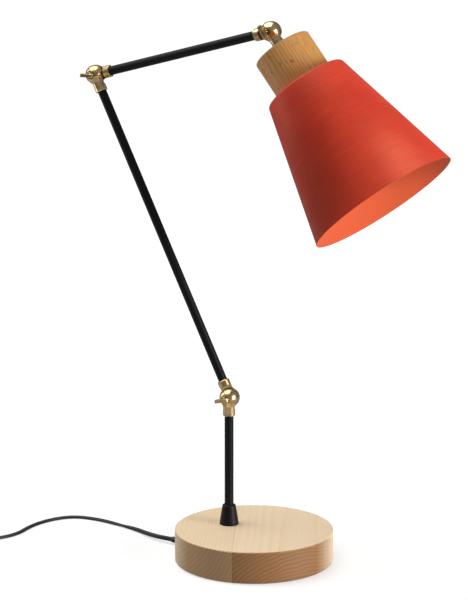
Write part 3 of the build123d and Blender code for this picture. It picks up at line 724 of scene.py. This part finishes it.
# %% The lathe tree and the shade
def lathe_tree():
    tree, given, output = new_tree("profile turned about an axis", {
        "Hole radius": "Float", "Shoulder radius": "Float", "Mouth radius": "Float", "Length": "Float",
        "Corner radius": "Float", "Columns": "Int", "Material": "Material",
    })
    corners = [
        add(tree, "ShaderNodeCombineXYZ", inputs).outputs[0]
        for inputs in (
            {"X": given.outputs["Hole radius"]},
            {"X": given.outputs["Shoulder radius"]},
            {"X": given.outputs["Mouth radius"], "Z": given.outputs["Length"]},
        )
    ]
    chosen = add(tree, "GeometryNodeIndexSwitch", data_type="VECTOR")
    chosen.index_switch_items.new()
    tree.links.new(add(tree, "GeometryNodeInputIndex").outputs[0], chosen.inputs[0])
    for number, corner in enumerate(corners):
        tree.links.new(corner, chosen.inputs[number + 1])
    line = add(tree, "GeometryNodeMeshLine", {"Count": 3})
    bent = add(tree, "GeometryNodeSetPosition", {
        "Geometry": line.outputs[0], "Position": chosen.outputs[0],
    })
    profile = add(tree, "GeometryNodeMeshToCurve", {"Mesh": bent.outputs[0]})
    rounded = add(tree, "GeometryNodeFilletCurve", {
        "Curve": profile.outputs[0], "Count": 9, "Radius": given.outputs["Corner radius"],
    }, mode="POLY").outputs[0]
    size = add(tree, "GeometryNodeAttributeDomainSize", {0: rounded}, component="CURVE")
    rows = size.outputs["Point Count"]
    grid = add(tree, "GeometryNodeMeshGrid", {
        "Size X": 1.0, "Size Y": 1.0, "Vertices X": given.outputs["Columns"], "Vertices Y": rows,
    }).outputs[0]
    place = add(tree, "ShaderNodeSeparateXYZ", {0: add(tree, "GeometryNodeInputPosition").outputs[0]})
    last_row = maths(tree, "SUBTRACT", rows, 1.0)
    up_the_grid = maths(tree, "ADD", place.outputs[1], 0.5)
    row = maths(tree, "MULTIPLY_ADD", up_the_grid, last_row, 0.5)
    whole_row = maths(tree, "FLOOR", row)
    spot = add(tree, "GeometryNodeSampleIndex", {
        0: rounded, 1: add(tree, "GeometryNodeInputPosition").outputs[0], 2: whole_row,
    }, data_type="FLOAT_VECTOR")
    radius_height = add(tree, "ShaderNodeSeparateXYZ", {0: spot.outputs[0]})
    angle = maths(tree, "MULTIPLY", place.outputs[0], 2 * math.pi)
    cosine = maths(tree, "COSINE", angle)
    sine = maths(tree, "SINE", angle)
    turned_place = add(tree, "ShaderNodeCombineXYZ", {
        "X": maths(tree, "MULTIPLY", radius_height.outputs[0], cosine),
        "Y": maths(tree, "MULTIPLY", radius_height.outputs[0], sine),
        "Z": radius_height.outputs[2],
    }).outputs[0]
    turned_grid = add(tree, "GeometryNodeSetPosition", {"Geometry": grid, "Position": turned_place})
    closed = add(tree, "GeometryNodeMergeByDistance", {
        "Geometry": turned_grid.outputs[0], "Distance": 0.00001,
    })
    finish_tree(tree, given, closed.outputs[0], output)
    return tree


SHADE_TOP = 0.0685
SHADE_SHEET = 0.0007
SHADE_LENGTH = 0.151
MOUTH_RADIUS = 0.083
shade = bake("spun_shade", bpy.data.meshes.new("shade_seed"), lathe_tree(), {
    "Hole radius": 0.0199, "Shoulder radius": 0.046, "Mouth radius": MOUTH_RADIUS, "Length": SHADE_LENGTH,
    "Corner radius": 0.0032, "Columns": 193, "Material": red_enamel,
})
across_head = Vector((0, 1, 0))
head_frame = Matrix((across_head.cross(head_axis), across_head, head_axis)).transposed().to_4x4()
shade_top = Vector(head_centre) + head_axis * SHADE_TOP
shade.data.transform(Matrix.Translation(shade_top) @ head_frame)
middle = shade_top + head_axis * SHADE_LENGTH / 2
wall = max(shade.data.polygons, key=lambda face: face.area)
if wall.normal.dot(wall.center - middle) < 0:
    shade.data.flip_normals()
thickness = shade.modifiers.new("sheet", "SOLIDIFY")
thickness.thickness = SHADE_SHEET
thickness.offset = -1.0
thickness.use_even_offset = True
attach(shade, "head")
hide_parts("shade")
print("shade mouth is", round(2 * MOUTH_RADIUS / MM), "mm across")

# %% [markdown]
# ## Floor and light
# The floor is plain white and far larger than the picture. It has a glow that only lifts what is seen
# of it and doesn't light the lamp, so it stays white into the distance, as a studio sweep does, and
# the lamp's own soft shadow stays near it. A large soft box on the right gives the shade its bright side
# and the brass its long highlights. A weak strip on the left draws the other edge. The room is dim,
# because the dark side of a thing is what shows its shape, but brighter in reflections, as white studio
# walls are, or the brass would look black.

# %% Floor
FLOOR_HALF = 30.0
floor_mesh = bpy.data.meshes.new("floor")
floor_corners = [(x * FLOOR_HALF, y * FLOOR_HALF, 0.0) for x, y in ((-1, -1), (1, -1), (1, 1), (-1, 1))]
floor_mesh.from_pydata(floor_corners, [], [(0, 1, 2, 3)])
floor = bpy.data.objects.new("floor", floor_mesh)
scene.collection.objects.link(floor)
floor_paint, floor_tree, floor_shader = new_material("white floor", Roughness=0.9, Specular_IOR_Level=0.1)
floor_shader.inputs["Base Color"].default_value = linear("#b8b8b8")
floor_shader.inputs["Emission Color"].default_value = (1, 1, 1, 1)
floor_place, _ = object_place(floor_tree)
distance = add(floor_tree, "ShaderNodeVectorMath", {0: floor_place}, operation="LENGTH").outputs["Value"]
glow = ranged(floor_tree, distance, 0.25, 2.2, 0.56, 1.0)
seen = add(floor_tree, "ShaderNodeLightPath").outputs["Is Camera Ray"]
glow_seen = maths(floor_tree, "MULTIPLY", glow, seen)
floor_tree.links.new(glow_seen, floor_shader.inputs["Emission Strength"])
floor_mesh.materials.append(floor_paint)
print("floor is", 2 * FLOOR_HALF, "m across")

# %% Lights
scene.view_settings.view_transform = "Standard"
LAMP_MIDDLE = Vector((0.0, 0.0, 0.33))
toward_camera = Vector((math.sin(CAMERA_AZIMUTH), -math.cos(CAMERA_AZIMUTH), 0))


def soft_box(name, right, near, high, width, height, watts):
    """An area light aimed at the lamp, placed to the right of it, towards the camera and above."""
    data = bpy.data.lights.new(name, "AREA")
    data.shape = "RECTANGLE"
    data.size = width
    data.size_y = height
    data.energy = watts
    light = bpy.data.objects.new(name, data)
    light.location = LAMP_MIDDLE + camera_right * right + toward_camera * near + Vector((0, 0, high))
    light.rotation_euler = (LAMP_MIDDLE - light.location).to_track_quat("-Z", "Y").to_euler()
    scene.collection.objects.link(light)


soft_box("overhead", -0.55, -0.1, 1.85, 2.0, 2.0, 45)
soft_box("key", 1.6, 0.9, 0.02, 0.9, 1.3, 46)
soft_box("left_strip", -1.4, -0.35, 0.3, 0.6, 1.3, 6.0)
world = bpy.data.worlds.new("studio")
world.use_nodes = True
ROOM = 0.08
ROOM_REFLECTED = 0.27
background = world.node_tree.nodes["Background"]
background.inputs["Color"].default_value = linear("#ffffff")
rays = add(world.node_tree, "ShaderNodeLightPath")
shone = ranged(world.node_tree, rays.outputs["Is Glossy Ray"], 0.0, 1.0, ROOM, ROOM_REFLECTED)
brightness = maths(world.node_tree, "MAXIMUM", shone, rays.outputs["Is Camera Ray"])
world.node_tree.links.new(brightness, background.inputs["Strength"])
scene.world = world
print("three soft boxes and a dim room")
